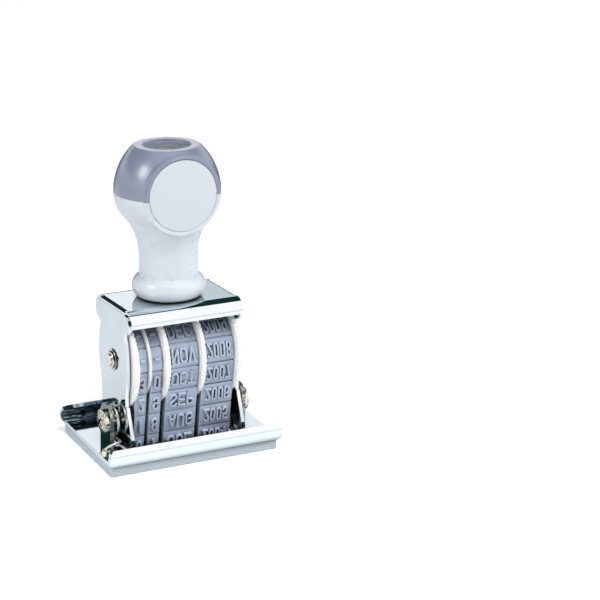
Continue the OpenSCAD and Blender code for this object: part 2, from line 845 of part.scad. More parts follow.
// the cap's section: oval outside, flat rim, round recess and the hollow for the plug
module cap_profile() {
    steps = 12;
    edge_z = knob_z - edge_r;
    edge_x = oval_r(edge_z - bulb_z) - edge_r;
    side = [for (i = [0 : steps])
                let (z = seam_z + (edge_z - seam_z) * (1 - pow(1 - i / steps, 1.3)))
                    [oval_r(z - bulb_z), z]];
    polygon(concat([[plug_r, plug_top_z], [plug_r, seam_z]], side,
                   arc([edge_x, edge_z], edge_r, 15, 90, 5),
                   [[recess_r, knob_z], [recess_r, knob_z - recess_h],
                    [0, knob_z - recess_h], [0, plug_top_z]]));
}

module knob_cap() {
    color("#989db0") leaned() difference() {
        union() {
            rotate_extrude() cap_profile();
            intersection() {
                difference() {
                    badge_rim();
                    cylinder(h = knob_z, r = plug_r);
                }
                above_seam();
            }
        }
        badge_seat();
    }
}

// bare round badge on the front of the knob
module knob_badge() {
    color("#eef1f4") leaned() translate([0, -badge_back_y, badge_z])
        rotate([90, 0, 0])
            cylinder(h = badge_t, r = badge_r);
}

// threaded brass insert in the knob's foot
module knob_insert() {
    color("#c9a653") leaned() difference() {
        translate([0, 0, top_z]) cylinder(h = insert_h, r = insert_r);
        translate([0, 0, top_z - 1]) cylinder(h = insert_h + 2, r = stud_r);
    }
}

// screw from under the top plate into the insert
module handle_screw() {
    head_top = top_in_z - head_washer_t;
    color("#bfc2c3") leaned() {
        translate([0, 0, head_top - stud_head_h]) cylinder(h = stud_head_h, r = stud_head_r);
        translate([0, 0, head_top - slack]) cylinder(h = insert_h + sheet_t + head_washer_t, r = stud_r);
    }
}

// washer under the screw's head
module handle_washer() {
    color("#d3d1c6") leaned() difference() {
        translate([0, 0, top_in_z - head_washer_t]) cylinder(h = head_washer_t, r = head_washer_r);
        translate([0, 0, top_in_z - sheet_t]) cylinder(h = 2 * sheet_t, r = stud_r);
    }
}

text_pad();
die_plate();
spring_anchor();
return_spring();
pivot_screws();
pivot_nuts();
frame();
band_bridge();
bridge_rivets();
wheel_axle();
axle_washers();
thrust_washers();
wheel_spacer();
day_tens_wheel();
day_units_wheel();
month_wheel();
year_wheel();
day_tens_band();
day_units_band();
month_band();
year_band();
knob_body();
knob_cap();
knob_badge();
knob_insert();
handle_screw();
handle_washer();
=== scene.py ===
"""Looks of the hand date stamp: finishes, rounded edges, characters on the bands, spring, light and camera.

Sizes are in millimetres until a mesh is written, which is in metres. The frame of the stamp is drawn
upright, as in the CAD source, and then leaned back about the pivot by the same angle.
"""

import math

import bmesh
import bpy
from mathutils import Matrix, Vector


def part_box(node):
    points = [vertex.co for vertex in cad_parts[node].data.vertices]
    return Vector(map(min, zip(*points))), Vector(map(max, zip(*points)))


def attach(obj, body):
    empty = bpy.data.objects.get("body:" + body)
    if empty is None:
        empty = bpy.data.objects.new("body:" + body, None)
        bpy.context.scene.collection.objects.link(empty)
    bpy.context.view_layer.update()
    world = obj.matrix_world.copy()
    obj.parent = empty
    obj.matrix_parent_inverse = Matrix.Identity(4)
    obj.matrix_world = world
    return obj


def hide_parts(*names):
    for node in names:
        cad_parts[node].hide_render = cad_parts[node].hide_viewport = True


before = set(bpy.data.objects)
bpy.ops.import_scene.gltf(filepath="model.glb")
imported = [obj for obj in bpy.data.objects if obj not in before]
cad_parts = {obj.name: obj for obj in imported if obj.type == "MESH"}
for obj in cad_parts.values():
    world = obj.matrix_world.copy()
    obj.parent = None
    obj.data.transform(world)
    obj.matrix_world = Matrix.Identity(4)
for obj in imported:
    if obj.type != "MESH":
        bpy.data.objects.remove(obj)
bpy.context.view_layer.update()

MM = 0.001

# Sizes shared with the CAD source

LEAN = math.radians(4)
PIVOT_Y, PIVOT_Z = -1.6, 8.5
TOP_Z = 35.35
FRAME_HALF = 14.1
SHEET_T = 0.8
AXLE_Z = 22.15
EAR_IN, EAR_OUT = 16.0, 16.8

BELT_IN_R = 7.4
BELT_T = 1.1
TILE_H = 0.5
TILE_PITCH = 5.35
CORNER_Y, CORNER_R = 3.0, 1.2
CORNER_Z = 3.8

BULB_R = 12.1
BULB_Z = TOP_Z + 24.15
KNOB_Z = TOP_Z + 35.05
NECK_R = 6.7
COLLAR_R, COLLAR_MID_R = 2.75, 5.65
NECK_CURVE_R, BULB_CURVE_R = 14.0, 7.8
RECESS_R, RECESS_H = 5.4, 0.8
BADGE_T = 1.1
BADGE_Y, BADGE_Z = 8.65, BULB_Z + 0.9

# The way from the upright drawing in millimetres to the leaned part in metres
LEANED = (Matrix.Scale(MM, 4) @ Matrix.Translation((0, PIVOT_Y, PIVOT_Z)) @ Matrix.Rotation(-LEAN, 4, "X")
          @ Matrix.Translation((0, -PIVOT_Y, -PIVOT_Z)))


# Node helpers

def add_node(tree, kind, **inputs):
    node = tree.nodes.new(kind)
    for name, value in inputs.items():
        node.inputs[name.replace("_", " ")].default_value = value
    return node


def combined(tree, operation, first, second):
    """The result of a sum, product or maximum of two sockets."""
    node = tree.nodes.new("ShaderNodeMath")
    node.operation = operation
    tree.links.new(first, node.inputs[0])
    tree.links.new(second, node.inputs[1])
    return node.outputs[0]


def along(tree, coords, axis):
    """One coordinate of a vector socket."""
    split = tree.nodes.new("ShaderNodeSeparateXYZ")
    tree.links.new(coords, split.inputs[0])
    return split.outputs[axis]


def scale_noise(tree, coords, scale, detail=3.0, stretch=None):
    """Noise with features of 1/scale metres, stretched along the axes if asked."""
    noise = add_node(tree, "ShaderNodeTexNoise", Scale=scale, Detail=detail, Roughness=0.55)
    if stretch:
        mapping = add_node(tree, "ShaderNodeMapping", Scale=stretch)
        tree.links.new(coords, mapping.inputs["Vector"])
        coords = mapping.outputs["Vector"]
    tree.links.new(coords, noise.inputs["Vector"])
    return noise.outputs["Fac"]


def spread(tree, fac, low, high, at=(0.35, 0.65)):
    """A number that runs from low to high as a socket runs over a range, by default noise's middle range."""
    remap = tree.nodes.new("ShaderNodeMapRange")
    for name, value in zip(("From Min", "From Max", "To Min", "To Max"), (*at, low, high)):
        remap.inputs[name].default_value = value
    tree.links.new(fac, remap.inputs["Value"])
    return remap.outputs["Result"]


def blended(tree, fac, first, second):
    """A colour between two colours or colour sockets."""
    mix = tree.nodes.new("ShaderNodeMix")
    mix.data_type = "RGBA"
    tree.links.new(fac, mix.inputs["Factor"])
    for name, value in (("A", first), ("B", second)):
        target = [s for s in mix.inputs if s.name == name and s.type == "RGBA"][0]
        if isinstance(value, bpy.types.NodeSocket):
            tree.links.new(value, target)
        else:
            target.default_value = (*value, 1)
    return [s for s in mix.outputs if s.type == "RGBA"][0]


# Finishes

# The largest share of each layer's colour, and the range over which wear and specks set in
WEAR_MOST, WORN_EDGES = 0.8, (0.53, 0.62)
SPECKS_PER_M = 1900
SPECKS_MOST, SPECKS_AT = 0.9, (0.53, 0.60)
SHADE_AND_GRIME_MOST, HOLLOW_SAMPLES = 0.95, 8
SHADE_MOST = 0.7
STREAKS_PER_MOTTLE = 2.3
GRAIN_STRENGTH = 0.6


def layered_tone(tree, coords, tone, worn, specks, shade_and_grime, hollows, shaded):
    """A colour with worn edges, dark specks, painted shade and grime in hollows, and painted shade growing
    between two heights.
    """
    if worn:
        edge = tree.nodes.new("ShaderNodeNewGeometry").outputs["Pointiness"]
        tone = blended(tree, spread(tree, edge, 0, WEAR_MOST, at=WORN_EDGES), tone, worn)
    if specks:
        pits = scale_noise(tree, coords, SPECKS_PER_M)
        tone = blended(tree, spread(tree, pits, 0, SPECKS_MOST, at=SPECKS_AT), tone, specks)
    # Painted shade darkens the hollows; on the bands it is partly ink residue
    for reach, open_share in hollows if shade_and_grime else ():
        hollow = add_node(tree, "ShaderNodeAmbientOcclusion", Distance=reach * MM)
        hollow.samples = HOLLOW_SAMPLES
        tone = blended(tree, spread(tree, hollow.outputs["AO"], SHADE_AND_GRIME_MOST, 0, at=open_share), tone, shade_and_grime)
    # Painted shade that grows from the lower height to the upper
    if shaded:
        heights = [height * MM for height in shaded]
        dusk = spread(tree, along(tree, coords, "Z"), 0, SHADE_MOST, at=heights)
        tone = blended(tree, dusk, tone, shade_and_grime)
    return tone


def finish_of(name, colour, varied, rough, metal=0.0, mottle=900, grain=9000, grain_depth=0.004, brushed=None,
              worn=None, shade_and_grime=None, hollows=((0.5, (0.35, 0.85)),), specks=None, shaded=None, coat=0.0,
              coat_rough=0.12, specular=0.5, subsurface=0.0, light_reach=1.0):
    """A procedural finish. Mottle and grain count features per metre, and brushed stretches the grain.

    Each of the hollows is a reach in millimetres with the shares of open sky from full painted shade and
    grime to none.
    """
    made = bpy.data.materials.new(name)
    made.use_nodes = True
    tree = made.node_tree
    shader = tree.nodes["Principled BSDF"]
    coords = tree.nodes.new("ShaderNodeTexCoord").outputs["Object"]
    mottled = blended(tree, spread(tree, scale_noise(tree, coords, mottle), 0, 1), colour, varied)
    tone = layered_tone(tree, coords, mottled, worn, specks, shade_and_grime, hollows, shaded)
    tree.links.new(tone, shader.inputs["Base Color"])
    streaks = scale_noise(tree, coords, mottle * STREAKS_PER_MOTTLE, detail=4.0, stretch=brushed)
    tree.links.new(spread(tree, streaks, *rough), shader.inputs["Roughness"])
    bump = add_node(tree, "ShaderNodeBump", Distance=grain_depth * MM, Strength=GRAIN_STRENGTH)
    fine_grain = scale_noise(tree, coords, grain, detail=2.0, stretch=brushed)
    tree.links.new(fine_grain, bump.inputs["Height"])
    tree.links.new(bump.outputs["Normal"], shader.inputs["Normal"])
    shader.inputs["Metallic"].default_value = metal
    shader.inputs["Specular IOR Level"].default_value = specular
    shader.inputs["Coat Weight"].default_value = coat
    shader.inputs["Coat Roughness"].default_value = coat_rough
    shader.inputs["Subsurface Weight"].default_value = subsurface
    shader.inputs["Subsurface Radius"].default_value = (1.0, 1.0, 1.0)
    shader.inputs["Subsurface Scale"].default_value = light_reach * MM
    return made


# Bright plating, brushed upright on the frame and lengthwise on the plate, whose ears have a painted dark
# reflection towards the top
# Both are painted greenish dark in their hollows, as painted shade and dark reflection
PLATED = {"colour": (0.765, 0.84, 0.89), "varied": (0.735, 0.815, 0.87), "rough": (0.03, 0.06), "metal": 1.0,
          "mottle": 160, "grain": 2600, "shade_and_grime": (0.014, 0.07, 0.054)}
CHROME = finish_of("bright_chrome", **PLATED, grain_depth=0.0012, brushed=(1, 1, 0.25),
                   hollows=((2.5, (0.05, 0.4)), (14, (0.15, 0.42))))
PLATE_CHROME = finish_of("plate_chrome", **PLATED, grain_depth=0.0005, brushed=(0.25, 1, 1),
                         hollows=((2.5, (0.2, 0.55)), (14, (0.2, 0.55))), shaded=(9.6, 11.0))

# Nickel and brass of the small hardware
TURNED = {"metal": 1.0, "mottle": 700, "grain": 6000, "grain_depth": 0.003}
# The hardware is painted darker in its hollows and in the gaps round it, as shade
NICKEL = finish_of("warm_nickel", (0.80, 0.765, 0.67), (0.70, 0.66, 0.56), (0.08, 0.14), **TURNED,
                   worn=(0.88, 0.86, 0.80), shade_and_grime=(0.06, 0.07, 0.06), hollows=((0.6, (0.3, 0.7)),))
HEAD_NICKEL = finish_of("head_nickel", (0.84, 0.81, 0.73), (0.72, 0.69, 0.60), (0.14, 0.24), **TURNED,
                        worn=(0.90, 0.88, 0.82), shade_and_grime=(0.05, 0.055, 0.045), hollows=((1.2, (0.4, 0.8)),),
                        specks=(0.10, 0.09, 0.07))
AXLE_NICKEL = finish_of("axle_nickel", (0.88, 0.86, 0.78), (0.80, 0.77, 0.69), (0.14, 0.24), **TURNED,
                        worn=(0.93, 0.92, 0.87), shade_and_grime=(0.03, 0.035, 0.03), hollows=((1.2, (0.5, 0.88)),))
BRASS = finish_of("turned_brass", (0.72, 0.52, 0.22), (0.62, 0.44, 0.18), (0.2, 0.35), **TURNED,
                  brushed=(1, 1, 8))

# Steel without plating
# The sheared edge's near-black and bright streaks are painted reflections
SHEARED_STREAKED = finish_of("sheared_edge_painted_reflections", (0.72, 0.74, 0.68), (0.07, 0.085, 0.075), (0.3, 0.45), metal=1.0,
                    mottle=1300, grain=6000, grain_depth=0.01, brushed=(0.2, 1, 1))
# The spring is painted dark in the hollows between its curls, as shade
WIRE = finish_of("spring_steel", (0.95, 0.95, 0.93), (0.86, 0.86, 0.84), (0.30, 0.42), metal=1.0,
                 mottle=1500, brushed=(1, 1, 0.2), shade_and_grime=(0.04, 0.05, 0.045), hollows=((0.6, (0.05, 0.3)),))
STEEL = finish_of("drawn_steel", (0.58, 0.59, 0.60), (0.50, 0.51, 0.52), (0.25, 0.4), metal=1.0,
                  mottle=500, grain=5000, brushed=(0.06, 1, 1))
# Near-black steel for the rims of the axle washers, painted shade for the dark gaps round the axle rivet
SHADE_DARK_STEEL = finish_of("shade_dark_steel", (0.10, 0.11, 0.10), (0.07, 0.08, 0.07), (0.25, 0.4), metal=1.0,
                       mottle=500, grain=5000, worn=(0.35, 0.36, 0.35))

# Rubber with painted shade in the hollows, partly ink residue in the bands' grooves and counters,
# and painted shade on the bands under the hood
BAND_RUBBER = finish_of("band_rubber", (0.42, 0.495, 0.625), (0.39, 0.46, 0.585), (0.52, 0.72), mottle=420,
                        grain=7000, grain_depth=0.012, worn=(0.56, 0.635, 0.765), shade_and_grime=(0.014, 0.018, 0.028),
                        hollows=((0.9, (0.3, 0.72)), (4.5, (0.1, 0.46))), shaded=(25.5, 31.0), specular=0.42)
PAD_RUBBER = finish_of("pad_rubber", (0.35, 0.405, 0.45), (0.32, 0.37, 0.415), (0.5, 0.7), mottle=320,
                       grain=6000, grain_depth=0.012, worn=(0.50, 0.56, 0.62), shade_and_grime=(0.22, 0.26, 0.30),
                       specular=0.4)

# Moulded plastic
# The wheels are painted a little greyer in their hollows, as shade
WHEEL_PLASTIC = finish_of("wheel_plastic", (0.965, 0.965, 0.97), (0.945, 0.945, 0.95), (0.34, 0.48),
                          mottle=350, grain=5200, grain_depth=0.006, shade_and_grime=(0.88, 0.88, 0.89),
                          hollows=((0.25, (0.35, 0.85)),), subsurface=1.0, light_reach=2.0)
KNOB_WHITE = finish_of("knob_white", (0.605, 0.653, 0.71), (0.60, 0.648, 0.705), (0.27, 0.29), mottle=90,
                       grain=7000, grain_depth=0.001, coat=0.2, coat_rough=0.2)
KNOB_GREY = finish_of("knob_grey", (0.202, 0.229, 0.318), (0.196, 0.222, 0.309), (0.29, 0.35), mottle=130,
                      grain=7000, grain_depth=0.003, worn=(0.34, 0.37, 0.47), coat=1.0, coat_rough=0.25)
# The cap's flat rim is a lighter copy of the cap's grey, a painted sheen
LIT_RIM_GREY = finish_of("lit_rim_grey", (0.41, 0.44, 0.53), (0.395, 0.425, 0.515), (0.24, 0.30), mottle=130,
                     grain=7000, grain_depth=0.002, coat=0.45, coat_rough=0.13)
RECESS_GREY = finish_of("recess_grey", (0.27, 0.29, 0.335), (0.125, 0.14, 0.18), (0.5, 0.62), mottle=1000,
                        grain=4200, grain_depth=0.02, specular=0.3)
BADGE_WHITE = finish_of("badge_white", (0.59, 0.632, 0.682), (0.583, 0.625, 0.675), (0.3, 0.38), mottle=140,
                        grain=2600, grain_depth=0.003)


# Meshes, with angles in degrees

CREASE_ANGLE = 35
MERGE_WITHIN = 0.001
FLAT_WITHIN = 0.3
ROUNDED_FROM, ROUNDED_SEGMENTS = 32, 3
ON_AXIS = 1e-6


def linked(name, data):
    """A new object in the scene."""
    made = bpy.data.objects.new(name, data)
    bpy.context.scene.collection.objects.link(made)
    return made


def new_piece(name, data, material, body, slot, *nodes):
    """A piece that rides on a body, takes a finish and stands for the CAD nodes, if any. The slot is not
    used.
    """
    piece = linked(name, data)
    data.materials.clear()
    data.materials.append(material)
    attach(piece, body)
    if nodes:
        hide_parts(*nodes)
    return piece


def smooth(mesh, angle=CREASE_ANGLE):
    mesh.shade_smooth()
    mesh.set_sharp_from_angle(angle=math.radians(angle))


def mesh_of(bm, name, angle=CREASE_ANGLE):
    """Writes a bmesh out as a smooth mesh with sharp creases and outward faces."""
    bmesh.ops.recalc_face_normals(bm, faces=bm.faces)
    mesh = bpy.data.meshes.new(name)
    bm.to_mesh(mesh)
    bm.free()
    smooth(mesh, angle)
    return mesh


def rounded_copy(node, name, material, body, slot, edge):
    """A copy of a CAD node's solid with its sharp edges rounded by a bevel."""
    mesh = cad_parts[node].data.copy()
    if "custom_normal" in mesh.attributes:
        mesh.attributes.remove(mesh.attributes["custom_normal"])
    bm = bmesh.new()
    bm.from_mesh(mesh)
    bmesh.ops.remove_doubles(bm, verts=bm.verts, dist=MERGE_WITHIN * MM)
    bmesh.ops.dissolve_limit(bm, angle_limit=math.radians(FLAT_WITHIN), verts=bm.verts, edges=bm.edges)
    bm.to_mesh(mesh)
    bm.free()
    smooth(mesh)
    piece = new_piece(name, mesh, material, body, slot, node)
    bevel = piece.modifiers.new("rounded_edges", "BEVEL")
    bevel.width = edge * MM
    bevel.segments = ROUNDED_SEGMENTS
    bevel.limit_method = "ANGLE"
    bevel.angle_limit = math.radians(ROUNDED_FROM)
    bevel.harden_normals = True
    return piece


def arc(mid, radius, start, end, steps):
    """Points on a circle, angles in degrees."""
    turns = [math.radians(start + (end - start) * i / steps) for i in range(steps + 1)]
    return [(mid[0] + radius * math.cos(t), mid[1] + radius * math.sin(t)) for t in turns]


def revolved(profile, steps, place):
    """A bmesh of a profile of (radius, height) turned about the upright axis and placed by a matrix."""
    bm = bmesh.new()
    turns = [2 * math.pi * k / steps for k in range(steps)]
    rings = []
    for radius, height in profile:
        if radius < ON_AXIS:
            rings.append([bm.verts.new(place @ Vector((0, 0, height)))] * steps)
            continue
        rings.append([bm.verts.new(place @ Vector((radius * math.cos(t), radius * math.sin(t), height)))
                      for t in turns])
    for low, high in zip(rings, rings[1:]):
        for k in range(steps):
            corners = [low[k], low[(k + 1) % steps], high[(k + 1) % steps], high[k]]
            face = list(dict.fromkeys(corners))
            if len(face) > 2:
                bm.faces.new(face)
    return bm


# Sheet metal, hardware, wheels, bands and pad, rounded from their CAD solids

# Node, piece, finish, body, slot and width of the rounded edges
ROUNDED = [
    ("frame", "frame_sheet", CHROME, "upper", "chrome_sheet", 0.13),
    ("die_plate", "plate_sheet", PLATE_CHROME, "base", "chrome_sheet", 0.22),
    ("text_pad", "rubber_pad", PAD_RUBBER, "base", "pad_rubber", 0.12),
    ("spring_anchor", "anchor_post", NICKEL, "base", "nickel_hardware", 0.18),
    ("pivot_screws", "pivot_screw_pair", HEAD_NICKEL, "upper", "nickel_hardware", 0.14),
    ("pivot_nuts", "pivot_nut_pair", NICKEL, "upper", "nickel_hardware", 0.12),
    ("band_bridge", "bridge_bar", STEEL, "upper", "bridge_steel", 0.08),
    ("bridge_rivets", "bridge_rivet_pair", NICKEL, "upper", "nickel_hardware", 0.12),
    ("wheel_axle", "axle_rivet", AXLE_NICKEL, "upper", "nickel_hardware", 0.14),
    ("axle_washers", "axle_washer_pair", SHADE_DARK_STEEL, "upper", "nickel_hardware", 0.06),
    ("thrust_washers", "thrust_washer_pair", STEEL, "upper", "nickel_hardware", 0.05),
    ("wheel_spacer", "spacer_disc", WHEEL_PLASTIC, "upper", "wheel_plastic", 0.12),
    ("day_tens_wheel", "tens_wheel_moulding", WHEEL_PLASTIC, "tens_wheel", "wheel_plastic", 0.07),
    ("day_units_wheel", "units_wheel_moulding", WHEEL_PLASTIC, "units_wheel", "wheel_plastic", 0.07),
    ("month_wheel", "month_wheel_moulding", WHEEL_PLASTIC, "months_wheel", "wheel_plastic", 0.07),
    ("year_wheel", "year_wheel_moulding", WHEEL_PLASTIC, "years_wheel", "wheel_plastic", 0.07),
    ("day_tens_band", "tens_band_rubber", BAND_RUBBER, "upper", "band_rubber", 0.19),
    ("day_units_band", "units_band_rubber", BAND_RUBBER, "upper", "band_rubber", 0.19),
    ("month_band", "month_band_rubber", BAND_RUBBER, "upper", "band_rubber", 0.19),
    ("year_band", "year_band_rubber", BAND_RUBBER, "upper", "band_rubber", 0.19),
    ("knob_insert", "insert_bush", BRASS, "upper", "insert_brass", 0.1),
    ("handle_screw", "knob_screw", NICKEL, "upper", "nickel_hardware", 0.12),
    ("handle_washer", "knob_washer", NICKEL, "upper", "nickel_hardware", 0.06),
]
EAR_MARGIN, EAR_FOOT_Z = 0.1, 5.0
# How far a face's normal points along X: less than the first on an edge, more than the second on a flat side
EDGE_NORMAL, FLAT_NORMAL = 0.5, 0.9


def on_ear_edge(face):
    """Whether a face is on the edge of one of the plate's ears, where the sheet was sheared."""
    middle = face.center / MM
    beside = EAR_IN - EAR_MARGIN < abs(middle.x) < EAR_OUT + EAR_MARGIN
    return beside and middle.z > EAR_FOOT_Z and abs(face.normal.x) < EDGE_NORMAL


def on_flat_side(face):
    """Whether a face of a washer is on one of its flat sides, which are plated, while its rim is painted dark
    as shade.
    """
    return abs(face.normal.x) > FLAT_NORMAL


SECOND_FINISH = {"die_plate": (SHEARED_STREAKED, on_ear_edge), "axle_washers": (AXLE_NICKEL, on_flat_side)}


def make_rounded():
    for node, *looks in ROUNDED:
        mesh = rounded_copy(node, *looks).data
        if node in SECOND_FINISH:
            finish, belongs = SECOND_FINISH[node]
            mesh.materials.append(finish)
            for face in mesh.polygons:
                face.material_index = int(belongs(face))


make_rounded()


# Return spring: close curls round the left pivot, a hook into the frame and a leg to the anchor

WIRE_R = 0.28
COIL_R = 3.2
CURLS, STEPS_PER_CURL = 1.5, 48
CURL_PITCH = 0.66
COIL_END_TURN = 270
COIL_GAP = 0.2
COIL_FROM_X = -(FRAME_HALF + COIL_GAP + WIRE_R)
HOOK_X = -(FRAME_HALF - SHEET_T)
LEG_CORNER_Y = PIVOT_Y - 5.5
LEG_BEND_X, LEG_RISE, LEG_BEND_Z = 0.5, 0.02, 0.35
ANCHOR_X, ANCHOR_Y = -19.8, -8.8
ANCHOR_TOP_Z = 3.8


def spring_points():
    steps = round(CURLS * STEPS_PER_CURL)
    coil = []
    for i in range(steps + 1):
        turn = math.radians(COIL_END_TURN - 360 * CURLS * (1 - i / steps))
        x = COIL_FROM_X - CURL_PITCH * CURLS * i / steps
        coil.append((x, PIVOT_Y - COIL_R * math.cos(turn), PIVOT_Z + COIL_R * math.sin(turn)))
    start, end = coil[0], coil[-1]
    hook = [(HOOK_X, start[1], start[2]), (HOOK_X - SHEET_T / 2, start[1], start[2])]
    leg = [(end[0], LEG_CORNER_Y, end[2]), (ANCHOR_X + LEG_BEND_X, ANCHOR_Y, end[2] + LEG_RISE),
           (ANCHOR_X, ANCHOR_Y, end[2] - LEG_BEND_Z), (ANCHOR_X, ANCHOR_Y, ANCHOR_TOP_Z)]
    return hook + coil + leg


def make_spring():
    curve = bpy.data.curves.new("return_spring_wire", "CURVE")
    curve.dimensions = "3D"
    curve.bevel_depth = WIRE_R * MM
    curve.bevel_resolution = 4
    curve.use_fill_caps = True
    points = spring_points()
    spline = curve.splines.new("POLY")
    spline.points.add(len(points) - 1)
    for target, point in zip(spline.points, points):
        target.co = (*(MM * c for c in point), 1)
    spline.use_smooth = True
    new_piece("return_spring_wire", curve, WIRE, "base", "spring_wire", "return_spring")


make_spring()


# Characters on the bands: raised strokes that follow the loop

class Loop:
    """The band's way round the drum and the two corners of the bridge, as in the CAD source."""
    reach = math.hypot(CORNER_Y, AXLE_Z - CORNER_Z)
    tilt = math.acos((BELT_IN_R - CORNER_R) / reach) - math.atan2(AXLE_Z - CORNER_Z, CORNER_Y)
    straight = math.sqrt(reach ** 2 - (BELT_IN_R - CORNER_R) ** 2)
    corner_out = CORNER_R + BELT_T
    drum_out = BELT_IN_R + BELT_T
    corner_l = corner_out * (math.pi / 2 + tilt)

    @classmethod
    def at(cls, s):
        """Place (y, z) and outward angle on the outside, at a length s from the middle of the flat bottom."""
        way = abs(s)
        if way < CORNER_Y:
            y, z, turn = way, CORNER_Z - cls.corner_out, -math.pi / 2
        elif way < CORNER_Y + cls.corner_l:
            turn = -math.pi / 2 + (way - CORNER_Y) / cls.corner_out
            y, z = CORNER_Y + cls.corner_out * math.cos(turn), CORNER_Z + cls.corner_out * math.sin(turn)
        elif way < CORNER_Y + cls.corner_l + cls.straight:
            turn, k = cls.tilt, way - CORNER_Y - cls.corner_l
            y = CORNER_Y + cls.corner_out * math.cos(turn) - k * math.sin(turn)
            z = CORNER_Z + cls.corner_out * math.sin(turn) + k * math.cos(turn)
        else:
            turn = cls.tilt + (way - CORNER_Y - cls.corner_l - cls.straight) / cls.drum_out
            y, z = cls.drum_out * math.cos(turn), AXLE_Z + cls.drum_out * math.sin(turn)
        return (y, z, turn) if s >= 0 else (-y, z, math.pi - turn)


def bow(x, y, rx, ry, start, end, steps=10):
    """Points on an oval arc in a character's unit box, angles in degrees."""
    turns = [math.radians(start + (end - start) * i / steps) for i in range(steps + 1)]
    return [(x + rx * math.cos(t), y + ry * math.sin(t)) for t in turns]


def glyph(char, e):
    """Strokes of a character in a box 1 by 1, as (points, closed). e is the height of its round ends."""
    top, low = 1 - e, e
    mid = 0.52
    up = (mid + 1) / 2, (1 - mid) / 2
    down = mid / 2, mid / 2
    oval = bow(0.5, top, 0.5, e, 0, 180) + bow(0.5, low, 0.5, e, 180, 360)
    bowl = bow(0.45, up[0], 0.55, up[1], 90, -90)
    belly = bow(0.45, down[0], 0.55, down[1], 90, -90)
    shapes = {
        "0": [(oval, True)],
        "1": [([(0.2, 0.78), (0.55, 1), (0.55, 0)], False)],
        "2": [(bow(0.5, top, 0.5, e, 165, -10) + [(0.95, 0.62), (0, 0), (1, 0)], False)],
        "3": [(bow(0.45, up[0], 0.5, up[1], 150, -90)
               + bow(0.45, down[0], 0.55, down[1], 90, -150), False)],
        "4": [([(0.75, 0), (0.75, 1), (0, 0.3), (1, 0.3)], False)],
        "5": [([(0.95, 1), (0.08, 1), (0.04, 0.56)] + bow(0.45, 0.3, 0.55, 0.3, 100, -150), False)],
        "6": [(bow(0.5, top, 0.5, e, 20, 180) + bow(0.5, low, 0.5, e, 180, 360)
               + bow(0.5, 0.56 - e, 0.5, e, 0, 180), False)],
        "7": [([(0, 1), (1, 1), (0.35, 0)], False)],
        "8": [(bow(0.5, up[0], 0.44, up[1], 0, 360, 18)[:-1], True),
              (bow(0.5, down[0], 0.5, down[1], 0, 360, 18)[:-1], True)],
        "9": [(bow(0.5, low, 0.5, e, 200, 360) + bow(0.5, top, 0.5, e, 0, 180)
               + bow(0.5, 0.44 + e, 0.5, e, 180, 360), False)],
        "-": [([(0.1, 0.5), (0.9, 0.5)], False)],
        "A": [([(0, 0), (0.5, 1), (1, 0)], False), ([(0.2, 0.32), (0.8, 0.32)], False)],
        "B": [([(0, 0), (0, 1)] + bowl + [(0, mid)], False), ([(0, mid)] + belly + [(0, 0)], False)],
        "C": [(bow(0.5, top, 0.5, e, 15, 180) + bow(0.5, low, 0.5, e, 180, 345), False)],
        "D": [([(0, 0), (0, 1)] + bow(0.4, 0.76, 0.6, 0.24, 90, 0)
               + bow(0.4, 0.24, 0.6, 0.24, 0, -90), True)],
        "E": [([(1, 1), (0, 1), (0, 0), (1, 0)], False), ([(0, mid), (0.8, mid)], False)],
        "F": [([(1, 1), (0, 1), (0, 0)], False), ([(0, mid), (0.8, mid)], False)],
        "G": [(bow(0.5, top, 0.5, e, 15, 180) + bow(0.5, low, 0.5, e, 180, 360)
               + [(1, 0.45), (0.5, 0.45)], False)],
        "J": [(bow(0.5, low, 0.5, e, 190, 360) + [(1, 1)], False)],
        "L": [([(0, 1), (0, 0), (1, 0)], False)],
        "M": [([(0, 0), (0, 1), (0.5, 0.35), (1, 1), (1, 0)], False)],
        "N": [([(0, 0), (0, 1), (1, 0), (1, 1)], False)],
        "O": [(oval, True)],
        "P": [([(0, 0), (0, 1)] + bowl + [(0, mid)], False)],
        "R": [([(0, 0), (0, 1)] + bowl + [(0, mid)], False), ([(0.45, mid), (1, 0)], False)],
        "S": [(bow(0.5, top, 0.5, e, 10, 185) + bow(0.5, low, 0.5, e, 5, -170), False)],
        "T": [([(0, 1), (1, 1)], False), ([(0.5, 1), (0.5, 0)], False)],
        "U": [([(0, 1)] + bow(0.5, low, 0.5, e, 180, 360) + [(1, 1)], False)],
        "V": [([(0, 1), (0.5, 0), (1, 1)], False)],
        "Y": [([(0, 1), (0.5, 0.5), (1, 1)], False), ([(0.5, 0.5), (0.5, 0)], False)],
    }
    return shapes[char]


STROKE_FOOT, STROKE_TOP, STROKE_H = 0.30, 0.22, 0.6
STROKE_ROUND_W, STROKE_ROUND_H = 0.08, 0.07
STROKE_SINK = 0.06
STROKE_SECTION = ((-STROKE_FOOT, -STROKE_SINK), (-STROKE_TOP, STROKE_H - STROKE_ROUND_H),
                  (-STROKE_TOP + STROKE_ROUND_W, STROKE_H), (STROKE_TOP - STROKE_ROUND_W, STROKE_H),
                  (STROKE_TOP, STROKE_H - STROKE_ROUND_H), (STROKE_FOOT, -STROKE_SINK))
LETTER_H = 3.25
LONGEST_STEP, SHORTEST_STEP = 0.45, 1e-4
SHARPEST_MITRE, SHARPEST_COSINE = 1.7, 0.2
TURNS_BACK = 1e-3


